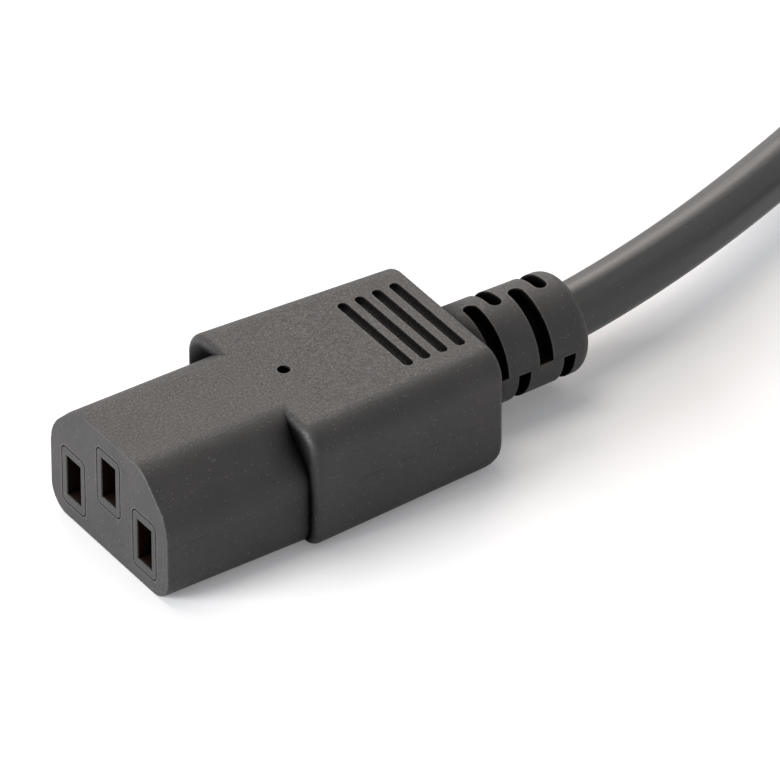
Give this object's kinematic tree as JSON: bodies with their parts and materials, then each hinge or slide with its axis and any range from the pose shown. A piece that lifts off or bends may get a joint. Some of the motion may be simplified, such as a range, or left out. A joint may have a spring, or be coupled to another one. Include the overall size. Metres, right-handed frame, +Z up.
{
  "type": "y splitter power cord",
  "caption": "Black Y splitter mains cord: a flat-pin plug and two moulded three-slot appliance connectors joined through a moulded junction.",
  "frame": {"origin": "on the resting surface under the middle of connector A, from its mating face to the end of its strain relief", "axes": "+X from connector A's mating face towards its cord, +Z up, +Y to the left seen along +X"},
  "size_m": [0.3306, 0.1034, 0.0194],
  "materials": {
    "housing_pvc": "fine spark-eroded texture, soft PVC overmould",
    "carrier_plastic": "smooth hard moulding",
    "cord_pvc": "satin extruded PVC jacket",
    "contact_brass": "bare rolled sheet",
    "pin_nickel": "nickel plated",
    "splice_tin": "tin plated crimp sleeve",
    "core_brown": "extruded PVC insulation",
    "core_blue": "extruded PVC insulation",
    "core_green_yellow": "extruded PVC insulation"
  },
  "bodies": {
    "root": {"connector_a_housing": "housing_pvc", "connector_a_contact_carrier": "carrier_plastic", "connector_a_line_contact": "contact_brass", "connector_a_neutral_contact": "contact_brass", "connector_a_earth_contact": "contact_brass", "connector_a_line_core": "core_brown", "connector_a_neutral_core": "core_blue", "connector_a_earth_core": "core_green_yellow", "connector_b_housing": "housing_pvc", "connector_b_contact_carrier": "carrier_plastic", "connector_b_line_contact": "contact_brass", "connector_b_neutral_contact": "contact_brass", "connector_b_earth_contact": "contact_brass", "connector_b_line_core": "core_brown", "connector_b_neutral_core": "core_blue", "connector_b_earth_core": "core_green_yellow", "plug_housing": "housing_pvc", "plug_pin_carrier": "carrier_plastic", "plug_line_pin": "pin_nickel", "plug_neutral_pin": "pin_nickel", "plug_earth_pin": "pin_nickel", "plug_line_core": "core_brown", "plug_neutral_core": "core_blue", "plug_earth_core": "core_green_yellow", "junction_housing": "housing_pvc", "junction_line_splice": "splice_tin", "junction_neutral_splice": "splice_tin", "junction_earth_splice": "splice_tin", "junction_line_cores": "core_brown", "junction_neutral_cores": "core_blue", "junction_earth_cores": "core_green_yellow", "leg_a_cord": "cord_pvc", "leg_b_cord": "cord_pvc", "trunk_cord": "cord_pvc"}
  },
  "joints": []
}
